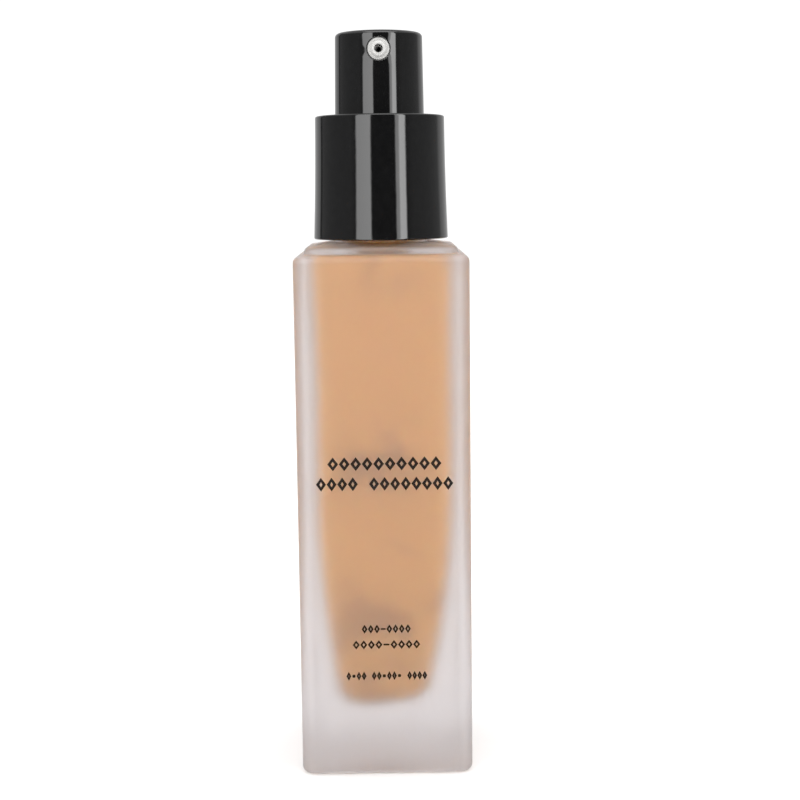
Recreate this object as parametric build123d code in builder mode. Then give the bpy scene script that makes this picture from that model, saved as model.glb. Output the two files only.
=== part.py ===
from build123d import *
import os

# Square frosted glass foundation bottle with a screw-on lotion pump, in millimetres.
# The origin is the centre of the base, +Z is up and the nozzle faces -Y.

# Fits
press_gap = 0.01
running_gap = 0.05
seat_gap = 0.02
cut_margin = 1.0

# Glass bottle, outside
bottle_side = 30.0
bottle_corner_radius = 2.5
body_top = 90.9
body_edge_radius = 1.3
shoulder_side = 26.3
shoulder_corner_radius = 3.0
shoulder_edge = 92.15
shoulder_edge_radius = 0.7
shoulder_foot_radius = 0.3
shoulder_crest = 92.8
shoulder_crest_side = 17.6
base_edge_radius = 1.0
punt_radius = 9.5
punt_depth = 0.5

# Glass bottle, inside: height, half width, sideways drift and corner radius of each cavity level
cavity_levels = [
    (6.0, 7.9, -0.5, 6.2),
    (15.9, 9.5, -0.4, 6.6),
    (24.2, 10.6, -0.2, 6.2),
    (37.8, 11.8, 0.0, 5.6),
    (57.0, 12.2, 0.15, 5.6),
    (77.0, 12.2, 0.1, 5.6),
    (90.3, 12.5, 0.05, 5.6),
]
cavity_floor_height = 10.4
cavity_floor_tilt = 6.0
cavity_floor_radius = 5.0
cavity_top_radius = 1.0
neck_bore_radius = 5.4

# Neck finish: 18 mm continuous thread
neck_radius = 8.2
neck_top = 103.6
neck_lip_chamfer = 0.4
thread_pitch = 3.175
thread_turns = 1.5
thread_start = 96.9
neck_thread_depth = 0.7
thread_bury = 0.15
neck_thread_root = 1.5
neck_thread_crest = 0.8

# Gasket between the glass rim and the pump flange
gasket_height = 1.0
gasket_inner_radius = 5.1
gasket_outer_radius = 8.3

# Screw closure
closure_bottom = 94.1
closure_wall_radius = 10.0
closure_rib_radius = 10.29
closure_rib_width = 0.7
closure_rib_count = 24
closure_bore_radius = 9.15
closure_plate = 1.2
closure_hole_radius = 4.4
closure_thread_depth = 0.75
closure_thread_root = 1.3
closure_thread_crest = 0.6
closure_thread_turns = 1.25

# Collar shell over the closure
collar_bottom = 93.3
collar_top = 114.7
collar_bottom_radius = 11.88
collar_waist_radius = 11.59
collar_waist_height = 101.8
collar_top_radius = 11.37
collar_bore_radius = 10.30
collar_mouth_radius = 8.1
collar_plate = 1.2
collar_upper_bore_radius = 9.6
collar_top_edge = 0.35
collar_bottom_edge = 0.25

# Pump housing
flange_radius = 8.3
flange_height = 1.0
housing_neck_radius = 5.0
housing_radius = 4.5
housing_step = 99.4
cylinder_radius = 3.5
cylinder_bottom = 82.5
cylinder_top = 99.9
chaplet_seat_radius = 4.1
cone_top = 81.0
cone_bottom = 77.8
tail_radius = 2.4
tail_bottom = 70.0
tube_socket_top = 77.0
inlet_bore_radius = 0.8
ball_seat_height = 79.75
cage_radius = 1.45
turret_radius = 2.1
turret_top = 83.6
nub_height = 0.5
nub_reach = 0.45
nub_count = 3
vent_radius = 0.4
vent_height = 97.6

# Chaplet that caps the housing and traps the closure
chaplet_flange_radius = 6.0
chaplet_flange_height = 0.8
chaplet_recess_radius = 3.1
chaplet_recess_top = 103.0
chaplet_lead_in = 0.3

# Dip tube
tube_radius = 1.49
tube_bore_radius = 1.0
tube_bottom = 12.3
tube_tip_slope = 0.7

# Inlet ball
ball_radius = 1.25

# Stem, rod and piston
stem_radius = 2.05
stem_bore_radius = 1.2
stem_bottom = 97.3
stem_top = 121.0
stem_flange_radius = 2.9
stem_flange_bottom = 100.7
stem_tip_chamfer = 0.25
rod_top = 101.3
rod_radius = 1.0
rod_head_radius = 2.9
rod_head_bottom = 93.6
rod_head_edge = 94.5
rod_seat_radius = 1.75
rod_spigot_radius = 2.0
rod_spigot_bottom = 92.4
rod_flute_count = 3
rod_flute_width = 0.7
rod_flute_depth = 0.5
piston_bottom = 95.3
piston_lip_radius = 3.46
piston_waist_radius = 3.0
piston_lip_height = 0.8
piston_port_radius = 1.6
piston_port_top = 96.4
piston_lip_blend = 0.3

# Return spring
spring_radius = 2.5
wire_radius = 0.25
spring_turns = 6.5

# Actuator
actuator_bottom = 113.2
actuator_top = 128.9
actuator_crown = 0.25
actuator_bottom_radius = 7.86
actuator_top_radius = 7.63
actuator_edge_radius = 0.75
actuator_wall = 0.9
actuator_roof = 0.8
core_radius = 6.68
core_disc_height = 0.7
core_rib_bottom = 118.5
core_rib_width = 0.9
core_rib_count = 4
core_rib_start = 45
core_notch_radius = 2.3
socket_outer_radius = 3.2
socket_bottom = 114.2

# Nozzle, on an axis towards -Y
nozzle_height = 125.7
nozzle_hole_radius = 2.1
boss_radius = 2.05
boss_front = 6.5
insert_radius = 1.85
insert_shank_radius = 1.5
insert_back = 3.8
insert_channel_radius = 0.45
insert_rim_front = 7.72
insert_step_radius = 1.5
insert_step_front = 8.0
insert_dome_front = 8.5
insert_dome_radius = 1.15
insert_mouth_radius = 0.74
insert_mouth_depth = 2.6
insert_mouth_taper = 0.1
insert_bevel = 0.2
channel_radius = 0.8

# Foundation
liquid_level = 94.5
liquid_pump_gap = 0.3

# Heights that follow from the stack on the neck
cavity_top = cavity_levels[-1][0]
gasket_bottom = neck_top + seat_gap
flange_bottom = gasket_bottom + gasket_height
flange_top = flange_bottom + flange_height
plate_bottom = flange_top + running_gap
plate_top = plate_bottom + closure_plate
chaplet_flange_bottom = plate_top + running_gap
chaplet_flange_top = chaplet_flange_bottom + chaplet_flange_height


def ring(bottom, top, outer, inner, mode=Mode.ADD):
    """A plain ring, or a disc where inner is 0, between two heights."""
    with BuildSketch(Plane.XY.offset(bottom)) as section:
        Circle(outer)
        if inner > 0:
            Circle(inner, mode=Mode.SUBTRACT)
    extrude(section.sketch, amount=top - bottom, mode=mode)


def thread_ridge(surface_radius, crest_radius, root_width, crest_width, start, turns):
    """A right-handed ridge wound on a cylinder, buried a little in its wall."""
    outward = 1 if crest_radius > surface_radius else -1
    buried = surface_radius - outward * thread_bury
    with BuildLine() as path:
        Helix(thread_pitch, thread_pitch * turns, surface_radius, center=(0, 0, start))
    with BuildSketch(Plane(path.line @ 0, x_dir=(1, 0, 0), z_dir=(0, -1, 0))) as section:
        with BuildLine():
            Polyline(
                (buried - surface_radius, -root_width / 2),
                (crest_radius - surface_radius, -crest_width / 2),
                (crest_radius - surface_radius, crest_width / 2),
                (buried - surface_radius, root_width / 2),
                close=True,
            )
        make_face()
    sweep(section.sketch, path=path.line, is_frenet=True)


def turned(points):
    """A solid of revolution about Z from the corners of its half section."""
    with BuildSketch(Plane.XZ) as section:
        with BuildLine():
            Polyline(*points, close=True)
        make_face()
    revolve(section.sketch, axis=Axis.Z)


os.makedirs("parts", exist_ok=True)

# Inside of the bottle: a rounded square that narrows to a tilted, rounded floor
with BuildPart() as cavity:
    for height, half_width, drift, corner_radius in cavity_levels:
        with BuildSketch(Plane.XY.offset(height)):
            with Locations((drift, 0)):
                RectangleRounded(2 * half_width, 2 * half_width, corner_radius)
    loft()
    floor_plane = Plane((0, 0, cavity_floor_height)).rotated((0, -cavity_floor_tilt, 0))
    split(bisect_by=floor_plane, keep=Keep.TOP)
    fillet(cavity.faces().sort_by(Axis.Z)[0].edges(), cavity_floor_radius)
    fillet(cavity.faces().sort_by(Axis.Z)[-1].edges(), cavity_top_radius)

# Glass bottle: a straight body, and a smaller raised shoulder that slopes up to the neck
with BuildPart() as glass_bottle:
    with BuildSketch():
        RectangleRounded(bottle_side, bottle_side, bottle_corner_radius)
    extrude(amount=body_top)
    fillet(glass_bottle.faces().sort_by(Axis.Z)[-1].edges(), body_edge_radius)
    fillet(glass_bottle.faces().sort_by(Axis.Z)[0].edges(), base_edge_radius)
    ring(0, punt_depth, punt_radius, 0, mode=Mode.SUBTRACT)
    foot_reach = shoulder_side / 2 + seat_gap
    with BuildSketch(Plane.XY.offset(body_top)):
        RectangleRounded(shoulder_side, shoulder_side, shoulder_corner_radius)
    extrude(amount=shoulder_edge - body_top)
    foot = glass_bottle.edges().filter_by_position(Axis.Z, body_top - seat_gap, body_top + seat_gap)
    foot = foot.filter_by(lambda edge: max(abs(edge.center().X), abs(edge.center().Y)) < foot_reach)
    fillet(foot, shoulder_foot_radius)
    with BuildSketch(Plane.XY.offset(shoulder_edge)):
        RectangleRounded(shoulder_side, shoulder_side, shoulder_corner_radius)
    with BuildSketch(Plane.XY.offset(shoulder_crest)):
        RectangleRounded(shoulder_crest_side, shoulder_crest_side, shoulder_corner_radius)
    loft(ruled=True)
    seam = glass_bottle.edges().filter_by_position(Axis.Z, shoulder_edge - seat_gap, shoulder_edge + seat_gap)
    fillet(seam, shoulder_edge_radius)
    ring(body_top, neck_top, neck_radius, 0)
    lip = glass_bottle.faces().sort_by(Axis.Z)[-1].edges()
    chamfer(lip, neck_lip_chamfer)
    thread_ridge(
        neck_radius,
        neck_radius + neck_thread_depth,
        neck_thread_root,
        neck_thread_crest,
        thread_start,
        thread_turns,
    )
    add(cavity.part, mode=Mode.SUBTRACT)
    ring(cavity_top - cut_margin, neck_top, neck_bore_radius, 0, mode=Mode.SUBTRACT)
glass_bottle.part.label = "glass_bottle"
export_step(glass_bottle.part, "parts/glass_bottle.step")

# Foundation: fills the glass to its level and leaves a clear way for the pump to lift out
with BuildPart() as foundation_liquid:
    add(cavity.part)
    ring(cavity_top - cut_margin, liquid_level, neck_bore_radius, 0)
    ring(tube_bottom - liquid_pump_gap, liquid_level, tube_radius + liquid_pump_gap, 0, Mode.SUBTRACT)
    ring(tail_bottom - liquid_pump_gap, liquid_level, housing_radius + liquid_pump_gap, 0, Mode.SUBTRACT)
foundation_liquid.part.label = "foundation_liquid"
export_step(foundation_liquid.part, "parts/foundation_liquid.step")

# Neck gasket
with BuildPart() as neck_gasket:
    ring(gasket_bottom, flange_bottom - seat_gap, gasket_outer_radius, gasket_inner_radius)
neck_gasket.part.label = "neck_gasket"
export_step(neck_gasket.part, "parts/neck_gasket.step")

# Screw closure: a threaded cup, ribbed outside to grip the collar shell
with BuildPart() as screw_closure:
    ring(closure_bottom, plate_top, closure_wall_radius, closure_bore_radius)
    ring(plate_bottom, plate_top, closure_wall_radius, closure_hole_radius)
    rib_length = 2 * (closure_rib_radius - closure_wall_radius)
    with BuildSketch(Plane.XY.offset(closure_bottom)):
        with PolarLocations(closure_wall_radius, closure_rib_count):
            Rectangle(rib_length, closure_rib_width)
    extrude(amount=plate_top - closure_bottom)
    thread_ridge(
        closure_bore_radius,
        closure_bore_radius - closure_thread_depth,
        closure_thread_root,
        closure_thread_crest,
        thread_start - thread_pitch / 2,
        closure_thread_turns,
    )
screw_closure.part.label = "screw_closure"
export_step(screw_closure.part, "parts/screw_closure.step")

# Collar shell: gloss black sleeve that flares a little towards its foot
with BuildPart() as collar_shell:
    with BuildSketch(Plane.XZ):
        with BuildLine():
            ThreePointArc(
                (collar_bottom_radius, collar_bottom),
                (collar_waist_radius, collar_waist_height),
                (collar_top_radius, collar_top),
            )
            Polyline(
                (collar_top_radius, collar_top),
                (collar_mouth_radius, collar_top),
                (collar_mouth_radius, collar_top - collar_plate),
                (collar_upper_bore_radius, collar_top - collar_plate),
                (collar_upper_bore_radius, plate_top + seat_gap),
                (collar_bore_radius, plate_top + seat_gap),
                (collar_bore_radius, collar_bottom),
                (collar_bottom_radius, collar_bottom),
            )
        make_face()
    revolve(axis=Axis.Z)
    rims = collar_shell.edges().filter_by(GeomType.CIRCLE)
    fillet(rims.filter_by(lambda rim: abs(rim.radius - collar_top_radius) < seat_gap), collar_top_edge)
    fillet(rims.filter_by(lambda rim: abs(rim.radius - collar_bottom_radius) < seat_gap), collar_bottom_edge)
    mouth = collar_shell.edges().filter_by(GeomType.CIRCLE).group_by(Axis.Z)[-1].sort_by(SortBy.RADIUS)[0]
    fillet(mouth, collar_bottom_edge)
collar_shell.part.label = "collar_shell"
export_step(collar_shell.part, "parts/collar_shell.step")

# Pump housing: flange, cylinder, ball cage and tail socket in one moulding
with BuildPart() as pump_housing:
    turned(
        [
            (tail_radius, tail_bottom),
            (tail_radius, cone_bottom),
            (housing_radius, cone_top),
            (housing_radius, housing_step),
            (housing_neck_radius, cylinder_top),
            (housing_neck_radius, flange_bottom),
            (flange_radius, flange_bottom),
            (flange_radius, flange_top),
            (chaplet_seat_radius, flange_top),
            (chaplet_seat_radius, cylinder_top),
            (cylinder_radius, cylinder_top),
            (cylinder_radius, cylinder_bottom),
            (turret_radius, cylinder_bottom),
            (turret_radius, turret_top),
            (cage_radius, turret_top),
            (cage_radius, ball_seat_height + cage_radius - inlet_bore_radius),
            (inlet_bore_radius, ball_seat_height),
            (inlet_bore_radius, tube_socket_top),
            (tube_radius + press_gap, tube_socket_top),
            (tube_radius + press_gap, tail_bottom),
        ]
    )
    with BuildSketch(Plane.XY.offset(turret_top - nub_height)):
        with PolarLocations(cage_radius, nub_count):
            Rectangle(2 * nub_reach, nub_reach)
    extrude(amount=nub_height)
    with BuildSketch(Plane.XZ.offset(cylinder_radius - cut_margin)):
        with Locations((0, vent_height)):
            Circle(vent_radius)
    extrude(amount=housing_radius, mode=Mode.SUBTRACT)
pump_housing.part.label = "pump_housing"
export_step(pump_housing.part, "parts/pump_housing.step")

# Chaplet: snaps into the housing, guides the stem and holds the closure down
with BuildPart() as chaplet:
    turned(
        [
            (chaplet_recess_radius, cylinder_top + seat_gap),
            (chaplet_seat_radius - press_gap, cylinder_top + seat_gap),
            (chaplet_seat_radius - press_gap, chaplet_flange_bottom),
            (chaplet_flange_radius, chaplet_flange_bottom),
            (chaplet_flange_radius, chaplet_flange_top),
            (stem_radius + running_gap + chaplet_lead_in, chaplet_flange_top),
            (stem_radius + running_gap, chaplet_flange_top - chaplet_lead_in),
            (stem_radius + running_gap, chaplet_recess_top),
            (chaplet_recess_radius, chaplet_recess_top),
        ]
    )
chaplet.part.label = "chaplet"
export_step(chaplet.part, "parts/chaplet.step")

# Dip tube with a slanted tip
with BuildPart() as dip_tube:
    ring(tube_bottom, tube_socket_top - seat_gap, tube_radius, tube_bore_radius)
    tip_rise = tube_radius * 2 * tube_tip_slope
    with BuildSketch(Plane.XZ):
        with BuildLine():
            Polyline(
                (-tube_radius, tube_bottom),
                (tube_radius, tube_bottom),
                (tube_radius, tube_bottom + tip_rise),
                close=True,
            )
        make_face()
    extrude(amount=tube_radius, both=True, mode=Mode.SUBTRACT)
dip_tube.part.label = "dip_tube"
export_step(dip_tube.part, "parts/dip_tube.step")

# Inlet ball, resting on its 45 degree seat
ball_height = ball_seat_height - inlet_bore_radius + (ball_radius + seat_gap) * 2**0.5
with BuildPart(Plane.XY.offset(ball_height)) as inlet_ball:
    Sphere(ball_radius)
inlet_ball.part.label = "inlet_ball"
export_step(inlet_ball.part, "parts/inlet_ball.step")

# Return spring between the cylinder floor and the rod head
with BuildPart() as return_spring:
    wire_bottom = cylinder_bottom + wire_radius + seat_gap
    wire_top = rod_head_bottom - wire_radius - seat_gap
    wire_pitch = (wire_top - wire_bottom) / spring_turns
    with BuildLine() as coil:
        Helix(wire_pitch, wire_top - wire_bottom, spring_radius, center=(0, 0, wire_bottom))
    with BuildSketch(Plane(coil.line @ 0, z_dir=coil.line % 0)):
        Circle(wire_radius)
    sweep(path=coil.line, is_frenet=True)
return_spring.part.label = "return_spring"
export_step(return_spring.part, "parts/return_spring.step")

# Upper stem: hollow, with the flange that drives the piston
with BuildPart() as upper_stem:
    turned(
        [
            (stem_bore_radius, stem_bottom),
            (stem_radius, stem_bottom),
            (stem_radius, stem_flange_bottom),
            (stem_flange_radius, stem_flange_bottom),
            (stem_flange_radius, chaplet_recess_top - running_gap),
            (stem_radius, chaplet_recess_top - running_gap),
            (stem_radius, stem_top - stem_tip_chamfer),
            (stem_radius - stem_tip_chamfer, stem_top),
            (stem_bore_radius, stem_top),
        ]
    )
upper_stem.part.label = "upper_stem"
export_step(upper_stem.part, "parts/upper_stem.step")

# Piston rod: fluted plug in the stem, and the head that shuts the piston's port
with BuildPart() as piston_rod:
    turned(
        [
            (0, rod_spigot_bottom),
            (rod_spigot_radius, rod_spigot_bottom),
            (rod_spigot_radius, rod_head_bottom),
            (rod_head_radius, rod_head_bottom),
            (rod_head_radius, rod_head_edge),
            (rod_seat_radius, piston_bottom - seat_gap),
            (rod_radius, piston_bottom - seat_gap),
            (rod_radius, stem_bottom),
            (stem_bore_radius - press_gap, stem_bottom),
            (stem_bore_radius - press_gap, rod_top),
            (0, rod_top),
        ]
    )
    with BuildSketch(Plane.XY.offset(rod_top)):
        with PolarLocations(stem_bore_radius, rod_flute_count):
            Rectangle(2 * rod_flute_depth, rod_flute_width)
    extrude(amount=stem_bottom - rod_top, mode=Mode.SUBTRACT)
piston_rod.part.label = "piston_rod"
export_step(piston_rod.part, "parts/piston_rod.step")

# Piston: two sealing lips and a sliding bore for the stem
piston_top = cylinder_top - seat_gap
with BuildPart() as piston:
    turned(
        [
            (piston_port_radius, piston_bottom),
            (piston_lip_radius, piston_bottom),
            (piston_lip_radius, piston_bottom + piston_lip_height),
            (piston_waist_radius, piston_bottom + piston_lip_height + piston_lip_blend),
            (piston_waist_radius, piston_top - piston_lip_height - piston_lip_blend),
            (piston_lip_radius, piston_top - piston_lip_height),
            (piston_lip_radius, piston_top),
            (stem_radius + running_gap, piston_top),
            (stem_radius + running_gap, piston_port_top),
            (piston_port_radius, piston_port_top),
        ]
    )
piston.part.label = "piston"
export_step(piston.part, "parts/piston.step")

# Actuator shell: gloss black cap with a slightly crowned top and a round nozzle window
nozzle_plane = Plane((0, 0, nozzle_height), x_dir=(1, 0, 0), z_dir=(0, -1, 0))
crown_radius = (actuator_top_radius**2 + actuator_crown**2) / (2 * actuator_crown)
with BuildPart() as actuator_shell:
    with BuildSketch(Plane.XZ):
        with BuildLine():
            RadiusArc(
                (0, actuator_top + actuator_crown),
                (actuator_top_radius, actuator_top),
                crown_radius,
            )
            Polyline(
                (actuator_top_radius, actuator_top),
                (actuator_bottom_radius, actuator_bottom),
                (actuator_bottom_radius - actuator_wall, actuator_bottom),
                (actuator_top_radius - actuator_wall, actuator_top - actuator_roof),
                (0, actuator_top - actuator_roof),
                (0, actuator_top + actuator_crown),
            )
        make_face()
    revolve(axis=Axis.Z)
    rims = actuator_shell.edges().filter_by(GeomType.CIRCLE)
    fillet(rims.filter_by(lambda rim: abs(rim.radius - actuator_top_radius) < seat_gap), actuator_edge_radius)
    with BuildSketch(nozzle_plane):
        Circle(nozzle_hole_radius)
    extrude(amount=2 * actuator_top_radius, mode=Mode.SUBTRACT)
actuator_shell.part.label = "actuator_shell"
export_step(actuator_shell.part, "parts/actuator_shell.step")

# Actuator core: stem socket, riser, nozzle boss, and the ribbed disc that fills the shell
core_disc_top = actuator_top - actuator_roof - running_gap
with BuildPart() as actuator_core:
    ring(core_disc_top - core_disc_height, core_disc_top, core_radius, 0)
    ring(socket_bottom, core_disc_top, socket_outer_radius, 0)
    with BuildSketch(Plane.XY.offset(core_rib_bottom)):
        with PolarLocations(core_radius / 2, core_rib_count, start_angle=core_rib_start):
            Rectangle(core_radius, core_rib_width)
    extrude(amount=core_disc_top - core_rib_bottom)
    with BuildSketch(nozzle_plane):
        Circle(boss_radius)
    extrude(amount=boss_front)
    with BuildSketch(nozzle_plane):
        Circle(channel_radius)
    extrude(amount=boss_front, mode=Mode.SUBTRACT)
    with BuildSketch(nozzle_plane.offset(insert_back - seat_gap)):
        Circle(insert_shank_radius + press_gap)
    extrude(amount=boss_front, mode=Mode.SUBTRACT)
    with BuildSketch(nozzle_plane.offset(boss_front)):
        Circle(core_notch_radius)
    extrude(amount=boss_front, mode=Mode.SUBTRACT)
    ring(socket_bottom, stem_top + seat_gap, stem_radius + press_gap, 0, Mode.SUBTRACT)
    ring(socket_bottom, nozzle_height, channel_radius, 0, Mode.SUBTRACT)
actuator_core.part.label = "actuator_core"
export_step(actuator_core.part, "parts/actuator_core.step")

# Nozzle insert: stepped white button with a round mouth that narrows to the channel
with BuildPart() as nozzle_insert:
    with BuildSketch(Plane((0, 0, nozzle_height), x_dir=(0, -1, 0), z_dir=(1, 0, 0))):
        with BuildLine():
            Polyline(
                (insert_dome_front, insert_mouth_radius),
                (insert_dome_front - insert_mouth_depth, insert_mouth_radius - insert_mouth_taper),
                (insert_dome_front - insert_mouth_depth, insert_channel_radius),
                (insert_back, insert_channel_radius),
                (insert_back, insert_shank_radius),
                (boss_front + seat_gap, insert_shank_radius),
                (boss_front + seat_gap, insert_radius),
                (insert_rim_front - insert_bevel, insert_radius),
                (insert_rim_front, insert_radius - insert_bevel),
                (insert_rim_front, insert_step_radius),
                (insert_step_front, insert_step_radius - insert_bevel / 2),
            )
            ThreePointArc(
                (insert_step_front, insert_step_radius - insert_bevel / 2),
                (insert_dome_front - insert_bevel / 2, insert_dome_radius),
                (insert_dome_front, insert_mouth_radius),
            )
        make_face()
    revolve(axis=Axis((0, 0, nozzle_height), (0, -1, 0)))
nozzle_insert.part.label = "nozzle_insert"
export_step(nozzle_insert.part, "parts/nozzle_insert.step")
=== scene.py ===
import math

import bmesh
import bpy
from mathutils import Matrix, Vector


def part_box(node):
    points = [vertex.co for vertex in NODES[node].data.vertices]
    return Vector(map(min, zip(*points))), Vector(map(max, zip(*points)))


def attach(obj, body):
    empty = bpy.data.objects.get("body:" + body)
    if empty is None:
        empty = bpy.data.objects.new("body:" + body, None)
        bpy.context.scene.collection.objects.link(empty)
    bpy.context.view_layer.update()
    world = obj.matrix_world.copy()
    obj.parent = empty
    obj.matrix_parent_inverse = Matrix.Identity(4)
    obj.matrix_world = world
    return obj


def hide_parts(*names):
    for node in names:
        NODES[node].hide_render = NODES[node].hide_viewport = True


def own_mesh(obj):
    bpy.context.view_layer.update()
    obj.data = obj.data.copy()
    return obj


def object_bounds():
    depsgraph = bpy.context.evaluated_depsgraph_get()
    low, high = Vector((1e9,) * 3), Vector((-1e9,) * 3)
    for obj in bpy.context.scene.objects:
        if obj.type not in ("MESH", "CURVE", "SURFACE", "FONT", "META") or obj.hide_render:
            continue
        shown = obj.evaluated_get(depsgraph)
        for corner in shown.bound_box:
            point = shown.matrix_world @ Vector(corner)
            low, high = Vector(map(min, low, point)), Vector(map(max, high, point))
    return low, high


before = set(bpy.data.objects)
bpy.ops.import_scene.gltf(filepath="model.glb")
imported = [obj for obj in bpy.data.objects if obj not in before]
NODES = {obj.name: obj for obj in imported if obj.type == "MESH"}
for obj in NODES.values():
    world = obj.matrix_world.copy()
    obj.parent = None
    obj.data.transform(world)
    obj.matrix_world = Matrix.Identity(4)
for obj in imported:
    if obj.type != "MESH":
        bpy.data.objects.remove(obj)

CAD_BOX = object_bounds()
MM = 0.001

# Refractive indices; the cavity wall has that of glass against liquid,
# so that only grazing rays are reflected
SOLID_IOR = 1.5
LIQUID_INTERFACE_IOR = 1.12

# Faint grey of thick glass: the colour that is left, and the absorption per metre
GLASS_TINT = (0.3, 0.3, 0.32, 1)
GLASS_DENSITY = 11.0

# Camera, from the photograph's perspective
CAMERA_DISTANCE = 260 * MM
CAMERA_HEIGHT = 102.5 * MM
CAMERA_SIDE = 1.0 * MM
CAMERA_PITCH = 7.13
CAMERA_YAW = 0.46
CAMERA_ROLL = -0.675
CAMERA_LENS = 65.55
CAMERA_SHIFT_Y = -0.04
CAMERA_CLIP = 10 * MM


# ---------------------------------------------------------------- node helpers
def new_material(name):
    """An empty node material with a Principled shader wired to its output."""
    material = bpy.data.materials.new(name)
    material.use_nodes = True
    nodes = material.node_tree.nodes
    return material, nodes, material.node_tree.links, nodes["Principled BSDF"]


def noise(nodes, links, coordinate, scale, detail=2.0, roughness=0.5, stretch=(1, 1, 1)):
    """A noise texture in object space, with an optional stretch per axis."""
    mapping = nodes.new("ShaderNodeMapping")
    mapping.inputs["Scale"].default_value = stretch
    texture = nodes.new("ShaderNodeTexNoise")
    texture.inputs["Scale"].default_value = scale
    texture.inputs["Detail"].default_value = detail
    texture.inputs["Roughness"].default_value = roughness
    links.new(coordinate.outputs["Object"], mapping.inputs["Vector"])
    links.new(mapping.outputs["Vector"], texture.inputs["Vector"])
    return texture.outputs["Fac"]


def ramp(nodes, links, value, stops):
    """A colour ramp with grey or RGB stops given as (position, value)."""
    node = nodes.new("ShaderNodeValToRGB")
    elements = node.color_ramp.elements
    while len(elements) < len(stops):
        elements.new(0.5)
    for element, (position, level) in zip(elements, stops):
        element.position = position
        rgb = level if isinstance(level, tuple) else (level, level, level)
        element.color = (*rgb, 1)
    links.new(value, node.inputs["Fac"])
    return node.outputs["Color"]


def bump(nodes, links, height, strength, distance):
    """A bump node; distance is in metres."""
    node = nodes.new("ShaderNodeBump")
    node.inputs["Strength"].default_value = strength
    node.inputs["Distance"].default_value = distance
    links.new(height, node.inputs["Height"])
    return node.outputs["Normal"]


# ---------------------------------------------------------------- materials
def gloss_black():
    """Piano-black moulded plastic with faint orange peel, dust specks and hairline wear."""
    material, nodes, links, shader = new_material("gloss_black")
    coordinate = nodes.new("ShaderNodeTexCoord")
    tint = noise(nodes, links, coordinate, 900, 3)
    links.new(ramp(nodes, links, tint, [(0.3, (0.0022, 0.0022, 0.0024)), (0.7, (0.004, 0.004, 0.0042))]),
              shader.inputs["Base Color"])
    wear = noise(nodes, links, coordinate, 420, 6, 0.7)
    links.new(ramp(nodes, links, wear, [(0.45, 0.035), (0.75, 0.11)]), shader.inputs["Roughness"])
    peel = noise(nodes, links, coordinate, 260, 2)
    links.new(bump(nodes, links, peel, 0.06, 0.0002), shader.inputs["Normal"])
    shader.inputs["IOR"].default_value = SOLID_IOR
    return material


def frosted_glass():
    """Acid-frosted soda-lime glass: rough and a little uneven outside, faintly grey in the thick."""
    material, nodes, links, shader = new_material("frosted_glass")
    coordinate = nodes.new("ShaderNodeTexCoord")
    cloud = noise(nodes, links, coordinate, 60, 4)
    links.new(ramp(nodes, links, cloud, [(0.3, (0.83, 0.79, 0.795)), (0.7, (0.86, 0.82, 0.825))]),
              shader.inputs["Base Color"])
    grain = noise(nodes, links, coordinate, 700, 5, 0.65)
    links.new(ramp(nodes, links, grain, [(0.3, 0.5), (0.7, 0.58)]), shader.inputs["Roughness"])
    links.new(bump(nodes, links, grain, 0.25, 0.0001), shader.inputs["Normal"])
    shader.inputs["Transmission Weight"].default_value = 0.9
    shader.inputs["IOR"].default_value = SOLID_IOR
    tint = nodes.new("ShaderNodeVolumeAbsorption")
    tint.inputs["Color"].default_value = GLASS_TINT
    tint.inputs["Density"].default_value = GLASS_DENSITY
    links.new(tint.outputs[0], nodes["Material Output"].inputs["Volume"])
    return material


def clear_glass():
    """The smooth inside of the bottle, where the liquid wets it."""
    material, nodes, links, shader = new_material("clear_glass")
    coordinate = nodes.new("ShaderNodeTexCoord")
    ripple = noise(nodes, links, coordinate, 90, 3, stretch=(1, 1, 0.35))
    links.new(ramp(nodes, links, ripple, [(0.3, (0.95, 0.94, 0.935)), (0.7, (0.97, 0.965, 0.96))]),
              shader.inputs["Base Color"])
    links.new(ramp(nodes, links, ripple, [(0.3, 0.03), (0.7, 0.08)]), shader.inputs["Roughness"])
    shader.inputs["Transmission Weight"].default_value = 1.0
    shader.inputs["IOR"].default_value = LIQUID_INTERFACE_IOR
    return material


def foundation():
    """Opaque tan cream with slow marbling and a few darker settled patches."""
    material, nodes, links, shader = new_material("foundation")
    coordinate = nodes.new("ShaderNodeTexCoord")
    marble = noise(nodes, links, coordinate, 60, 4, 0.6, (1, 1, 0.8))
    settled, tan, pale = (0.58, 0.255, 0.036), (0.79, 0.375, 0.055), (0.85, 0.415, 0.07)
    links.new(ramp(nodes, links, marble, [(0.36, settled), (0.45, tan), (0.7, pale)]),
              shader.inputs["Base Color"])
    links.new(ramp(nodes, links, marble, [(0.3, 0.35), (0.7, 0.5)]), shader.inputs["Roughness"])
    shader.inputs["Subsurface Weight"].default_value = 0.3
    shader.inputs["Subsurface Radius"].default_value = (1.0, 0.5, 0.3)
    shader.inputs["Subsurface Scale"].default_value = 0.0008
    return material


def moulded(name, low, high, roughness):
    """Plain moulded plastic: slight tone variation, fine grain and uneven gloss."""
    material, nodes, links, shader = new_material(name)
    coordinate = nodes.new("ShaderNodeTexCoord")
    tone = noise(nodes, links, coordinate, 300, 3)
    links.new(ramp(nodes, links, tone, [(0.3, low), (0.7, high)]), shader.inputs["Base Color"])
    gloss = noise(nodes, links, coordinate, 900, 4)
    links.new(ramp(nodes, links, gloss, [(0.3, roughness * 0.85), (0.7, roughness * 1.2)]),
              shader.inputs["Roughness"])
    links.new(bump(nodes, links, gloss, 0.05, 0.00001), shader.inputs["Normal"])
    return material


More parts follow.
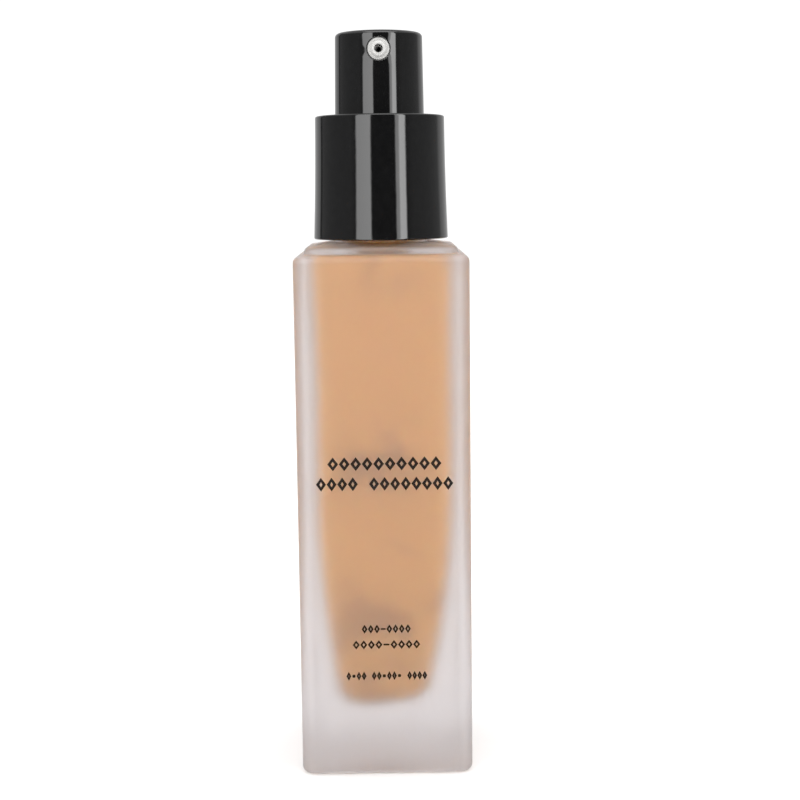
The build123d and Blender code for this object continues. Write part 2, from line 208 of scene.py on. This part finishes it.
def steel():
    """Polished spring steel with drawn-wire streaks."""
    material, nodes, links, shader = new_material("steel")
    coordinate = nodes.new("ShaderNodeTexCoord")
    streak = noise(nodes, links, coordinate, 1500, 3, stretch=(1, 1, 6))
    links.new(ramp(nodes, links, streak, [(0.3, 0.5), (0.7, 0.66)]), shader.inputs["Base Color"])
    links.new(ramp(nodes, links, streak, [(0.3, 0.18), (0.7, 0.32)]), shader.inputs["Roughness"])
    shader.inputs["Metallic"].default_value = 1.0
    return material


def dress(node, material):
    """One material over a whole CAD node."""
    mesh = NODES[node].data
    mesh.materials.clear()
    mesh.materials.append(material)


BLACK = gloss_black()
dress("collar_shell", BLACK)
dress("actuator_shell", BLACK)
dress("screw_closure", moulded("closure_black", (0.012, 0.012, 0.012), (0.02, 0.02, 0.02), 0.45))
dress("nozzle_insert", moulded("nozzle_white", (0.50, 0.495, 0.48), (0.55, 0.545, 0.53), 0.28))
NATURAL = moulded("natural_plastic", (0.47, 0.47, 0.46), (0.55, 0.55, 0.535), 0.4)
for part in ("pump_housing", "chaplet", "actuator_core", "upper_stem", "piston_rod"):
    dress(part, NATURAL)
TUBE = moulded("tube_plastic", (0.38, 0.38, 0.375), (0.45, 0.45, 0.44), 0.35)
for part in ("dip_tube", "piston"):
    dress(part, TUBE)
dress("neck_gasket", moulded("gasket_foam", (0.55, 0.55, 0.54), (0.64, 0.64, 0.63), 0.75))
STEEL = steel()
dress("inlet_ball", STEEL)
dress("return_spring", STEEL)
dress("foundation_liquid", foundation())

# Glass: frosted outside, smooth in the cavity and the neck's bore
CAVITY_CEILING = 90.6 * MM
NECK_BORE_RADIUS = 5.6 * MM
FACE_MARGIN = 0.1 * MM
glass = NODES["glass_bottle"]
dress("glass_bottle", frosted_glass())
glass.data.materials.append(clear_glass())
liquid_low, liquid_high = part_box("foundation_liquid")
for face in glass.data.polygons:
    centre = face.center
    above_floor = centre.z > liquid_low.z - FACE_MARGIN
    inside_bore = above_floor and math.hypot(centre.x, centre.y) < NECK_BORE_RADIUS
    inside_cavity = (
        above_floor
        and centre.z < CAVITY_CEILING
        and liquid_low.x - FACE_MARGIN < centre.x < liquid_high.x + FACE_MARGIN
        and liquid_low.y - FACE_MARGIN < centre.y < liquid_high.y + FACE_MARGIN
    )
    if inside_bore or inside_cavity:
        face.material_index = 1

# A hair of space between liquid and wall, so that shallow rays reflect off the wall
WELD_DISTANCE = 0.002 * MM
SKIN_GAP = 0.03 * MM
liquid = NODES["foundation_liquid"]
weld = liquid.modifiers.new("join_skin", "WELD")
weld.merge_threshold = WELD_DISTANCE
shrink = liquid.modifiers.new("skin_gap", "DISPLACE")
shrink.strength = -SKIN_GAP
shrink.mid_level = 0.0

# Return spring: a copy of the same coil with a mesh of its own, carried with the pump engine
coil = bpy.data.objects.new("spring_coil", NODES["return_spring"].data.copy())
coil.matrix_world = NODES["return_spring"].matrix_world
bpy.context.scene.collection.objects.link(coil)
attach(coil, "pump_engine")
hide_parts("return_spring")
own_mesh(coil)


# ---------------------------------------------------------------- printed ornament
INK_THICKNESS = 0.03 * MM

# How far the middle of the ink film stands off the glass, in film thicknesses
INK_STANDOFF = 0.6

# Widths of a diamond and a dash, each side of their middle, in pitches of their row
LOZENGE_SPREAD = 0.47
DASH_SPREAD = 0.42

# Sizes in strokes: how far a diamond's inner corners stand in, and a dot and a dash each side of their middle
LOZENGE_SIDE = 1.3
LOZENGE_TIP = 1.6
DOT_SIZE = 0.9
DASH_WEIGHT = 0.5

BLOB_POINTS = 20
BLOB_SQUARENESS = 0.6


def printed_ink():
    """Screen-printed black ink: slightly porous, with uneven gloss."""
    material, nodes, links, shader = new_material("printed_ink")
    coordinate = nodes.new("ShaderNodeTexCoord")
    grain = noise(nodes, links, coordinate, 2500, 4, 0.7)
    links.new(ramp(nodes, links, grain, [(0.35, (0.006, 0.005, 0.005)), (0.75, (0.016, 0.013, 0.011))]),
              shader.inputs["Base Color"])
    links.new(ramp(nodes, links, grain, [(0.3, 0.38), (0.7, 0.6)]), shader.inputs["Roughness"])
    links.new(bump(nodes, links, grain, 0.2, 0.00002), shader.inputs["Normal"])
    shader.inputs["Specular IOR Level"].default_value = 0.15
    return material


def lozenge(mesh, x, z, half_width, half_height, stroke):
    """A diamond outline on the front face, heavier at its tips than at its sides."""
    rim = []
    for grow in (0, 1):
        ring = []
        for step in range(4):
            angle = math.pi / 2 * step
            across = (half_width - grow * stroke * LOZENGE_SIDE) * math.cos(angle)
            along = (half_height - grow * stroke * LOZENGE_TIP) * math.sin(angle)
            ring.append(mesh.verts.new((x + across, FRONT, z + along)))
        rim.append(ring)
    for step in range(4):
        following = (step + 1) % 4
        mesh.faces.new((rim[0][step], rim[0][following], rim[1][following], rim[1][step]))


def blob(mesh, x, z, half_width, half_height):
    """A filled, slightly squared oval on the front face: a dot, or a dash when it is wide."""
    points = []
    for step in range(BLOB_POINTS):
        angle = 2 * math.pi * step / BLOB_POINTS
        across, along = (
            math.copysign(abs(part) ** BLOB_SQUARENESS, part) for part in (math.cos(angle), math.sin(angle))
        )
        points.append(mesh.verts.new((x + half_width * across, FRONT, z + half_height * along)))
    mesh.faces.new(points)


def ornament_row(name, centre, height, width, pattern, half_height, stroke):
    """A centred row of diamonds (d), dots (.), dashes (-) and gaps (space), spread over a width."""
    shapes = bmesh.new()
    pitch = width / len(pattern)
    for place, mark in enumerate(pattern):
        x = centre + (place + 0.5 - len(pattern) / 2) * pitch
        if mark == "d":
            lozenge(shapes, x, height, pitch * LOZENGE_SPREAD, half_height, stroke)
        elif mark == ".":
            blob(shapes, x, height, stroke * DOT_SIZE, stroke * DOT_SIZE)
        elif mark == "-":
            blob(shapes, x, height, pitch * DASH_SPREAD, stroke * DASH_WEIGHT)
    mesh = bpy.data.meshes.new(name)
    shapes.to_mesh(mesh)
    shapes.free()
    mesh.materials.append(INK)
    piece = bpy.data.objects.new(name, mesh)
    bpy.context.scene.collection.objects.link(piece)
    film = piece.modifiers.new("ink_film", "SOLIDIFY")
    film.thickness = INK_THICKNESS
    film.offset = 0
    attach(piece, "bottle")


# Name, middle, height, width, pattern, half height and stroke of each row, in millimetres
ORNAMENT = [
    ("print_band_upper", 0.1, 55.4, 19.6, "dddddddddd", 1.2, 0.46),
    ("print_band_lower", 0.1, 51.9, 23.6, "dddd dddddddd", 1.2, 0.46),
    ("print_line_1", 0.05, 26.3, 8.6, "ddd-dddd", 0.8, 0.3),
    ("print_line_2", 0.05, 23.5, 11.8, "dddd-dddd", 0.8, 0.3),
    ("print_line_3", 0.05, 17.9, 14.1, "d.dd dd.dd. dddd", 0.8, 0.3),
]
INK = printed_ink()
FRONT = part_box("glass_bottle")[0].y - INK_STANDOFF * INK_THICKNESS
for row, row_middle, row_height, row_width, marks, mark_half, mark_stroke in ORNAMENT:
    ornament_row(
        row, row_middle * MM, row_height * MM, row_width * MM, marks, mark_half * MM, mark_stroke * MM,
    )


# ---------------------------------------------------------------- studio
def stage_mesh(name, vertices, faces, material):
    """A floor or reflection card; not part of the object."""
    mesh = bpy.data.meshes.new(name)
    mesh.from_pydata(vertices, [], faces)
    mesh.materials.append(material)
    piece = bpy.data.objects.new(name, mesh)
    bpy.context.scene.collection.objects.link(piece)
    return piece


def only_in_reflections(piece):
    """Cards that light the gloss and nothing else."""
    piece.visible_camera = False
    piece.visible_diffuse = False
    piece.visible_transmission = False
    piece.visible_volume_scatter = False
    piece.visible_shadow = False


FLOOR_HALF = 6.0
FLOOR_DROP = 0.03 * MM


def floor():
    """Plain pale paper just under the base, kept out of the gloss of the black parts."""
    material, nodes, links, shader = new_material("floor_paper")
    coordinate = nodes.new("ShaderNodeTexCoord")
    fibre = noise(nodes, links, coordinate, 40, 3)
    links.new(ramp(nodes, links, fibre, [(0.3, 0.93), (0.7, 0.95)]), shader.inputs["Base Color"])
    shader.inputs["Roughness"].default_value = 0.9
    signs = [(-1, -1), (1, -1), (1, 1), (-1, 1)]
    corners = [(x * FLOOR_HALF, y * FLOOR_HALF, -FLOOR_DROP) for x, y in signs]
    paper = stage_mesh("floor", corners, [(0, 1, 2, 3)], material)
    paper.visible_glossy = False


# Radiance round the drum by bearing in degrees: 0 is behind the camera, 90 is +X and 180 is behind the
# object
DRUM = [
    (-180, 0.75), (-130, 0.68), (-127, 0.12), (-124, 0.12), (-120, 0.33), (-52, 0.35), (-43, 0.22),
    (-41.5, 4.6), (-16.5, 5.2), (-15, 0.1), (26.5, 0.1), (27.5, 3.6), (33, 4.4), (34.5, 8.2), (44, 7.8),
    (45.5, 0.2), (60, 0.34), (120, 0.38), (128, 0.72), (180, 0.75),
]
DRUM_PEAK = 10.0
DRUM_RADIUS = 1.5
DRUM_LOW, DRUM_HIGH = -2.5, 1.1
DRUM_SIDES = 96
OVERHEAD_RADIANCE = 4.2
OVERHEAD_HEIGHT = 1.4
OVERHEAD_CORNERS = [(-0.7, -1.3), (0.9, -1.3), (0.9, -0.25), (-0.7, -0.25)]


def emitter(name, strength):
    """A material that only gives light."""
    material = bpy.data.materials.new(name)
    material.use_nodes = True
    nodes, links = material.node_tree.nodes, material.node_tree.links
    nodes.clear()
    light = nodes.new("ShaderNodeEmission")
    light.inputs["Strength"].default_value = strength
    output = nodes.new("ShaderNodeOutputMaterial")
    links.new(light.outputs[0], output.inputs["Surface"])
    return material, nodes, links, light


def reflection_drum():
    """A drum round the set, seen only in gloss, with a dark front, pale back and two upright softboxes."""
    material, nodes, links, light = emitter("drum_light", DRUM_PEAK)
    coordinate = nodes.new("ShaderNodeTexCoord")
    split = nodes.new("ShaderNodeSeparateXYZ")
    bearing = nodes.new("ShaderNodeMath")
    bearing.operation = "ARCTAN2"
    flip = nodes.new("ShaderNodeMath")
    flip.operation = "MULTIPLY"
    flip.inputs[1].default_value = -1
    links.new(coordinate.outputs["Object"], split.inputs["Vector"])
    links.new(split.outputs["Y"], flip.inputs[0])
    links.new(split.outputs["X"], bearing.inputs[0])
    links.new(flip.outputs[0], bearing.inputs[1])
    turn = nodes.new("ShaderNodeMapRange")
    turn.inputs["From Min"].default_value = -math.pi
    turn.inputs["From Max"].default_value = math.pi
    links.new(bearing.outputs[0], turn.inputs["Value"])
    stops = [((degrees + 180) / 360, level / DRUM_PEAK) for degrees, level in DRUM]
    links.new(ramp(nodes, links, turn.outputs["Result"], stops), light.inputs["Color"])
    points = []
    for height in (DRUM_LOW, DRUM_HIGH):
        for step in range(DRUM_SIDES):
            angle = 2 * math.pi * step / DRUM_SIDES
            points.append((DRUM_RADIUS * math.cos(angle), DRUM_RADIUS * math.sin(angle), height))
    faces = []
    for side in range(DRUM_SIDES):
        following = (side + 1) % DRUM_SIDES
        faces.append((side, following, DRUM_SIDES + following, DRUM_SIDES + side))
    only_in_reflections(stage_mesh("reflection_drum", points, faces, material))


def overhead_card():
    """A card above and in front, seen only in the gloss of the tops."""
    material = emitter("overhead_light", OVERHEAD_RADIANCE)[0]
    corners = [(x, y, OVERHEAD_HEIGHT) for x, y in OVERHEAD_CORNERS]
    only_in_reflections(stage_mesh("overhead_card", corners, [(0, 1, 2, 3)], material))


def area_light(name, place, aim, size, power):
    """A soft rectangular light that doesn't show in gloss or to the camera."""
    data = bpy.data.lights.new(name, "AREA")
    data.shape = "RECTANGLE"
    data.size, data.size_y = size
    data.energy = power
    lamp = bpy.data.objects.new(name, data)
    lamp.location = place
    lamp.rotation_euler = (Vector(aim) - Vector(place)).to_track_quat("-Z", "Y").to_euler()
    lamp.visible_glossy = False
    lamp.visible_camera = False
    bpy.context.scene.collection.objects.link(lamp)


# Name, place, size and watts of each softbox
SOFTBOXES = [
    ("softbox_left", (-0.55, -0.6, 0.45), (0.4, 0.8), 1.6),
    ("softbox_right", (0.65, -0.45, 0.5), (0.3, 0.8), 1.5),
    ("softbox_top", (0.0, 0.1, 0.9), (0.9, 0.9), 2.2),
]
floor()
reflection_drum()
overhead_card()
middle = (CAD_BOX[0] + CAD_BOX[1]) / 2
for softbox, place, size, watts in SOFTBOXES:
    area_light(softbox, place, middle, size, watts)

# Just over 1, so that the room is plain white to the camera
WORLD_STRENGTH = 1.1
world = bpy.data.worlds.new("white_room")
bpy.context.scene.world = world
world.use_nodes = True
background = world.node_tree.nodes["Background"]
background.inputs["Color"].default_value = (1, 1, 1, 1)
background.inputs["Strength"].default_value = WORLD_STRENGTH

# ---------------------------------------------------------------- camera
pitch, yaw, roll = (math.radians(a) for a in (CAMERA_PITCH, CAMERA_YAW, CAMERA_ROLL))
forward = Vector((math.sin(yaw) * math.cos(pitch), math.cos(yaw) * math.cos(pitch), -math.sin(pitch)))
level_right = forward.cross(Vector((0, 0, 1))).normalized()
level_up = level_right.cross(forward)
right = math.cos(roll) * level_right + math.sin(roll) * level_up
up = -math.sin(roll) * level_right + math.cos(roll) * level_up
camera_data = bpy.data.cameras.new("camera")
camera_data.lens = CAMERA_LENS
camera_data.shift_y = CAMERA_SHIFT_Y
camera_data.clip_start = CAMERA_CLIP
camera = bpy.data.objects.new("camera", camera_data)
camera.matrix_world = Matrix.Translation((CAMERA_SIDE, -CAMERA_DISTANCE, CAMERA_HEIGHT)) @ Matrix(
    (right, up, -forward)
).transposed().to_4x4()
bpy.context.scene.collection.objects.link(camera)
bpy.context.scene.camera = camera
bpy.context.scene.view_settings.view_transform = "Standard"

bpy.context.view_layer.update()
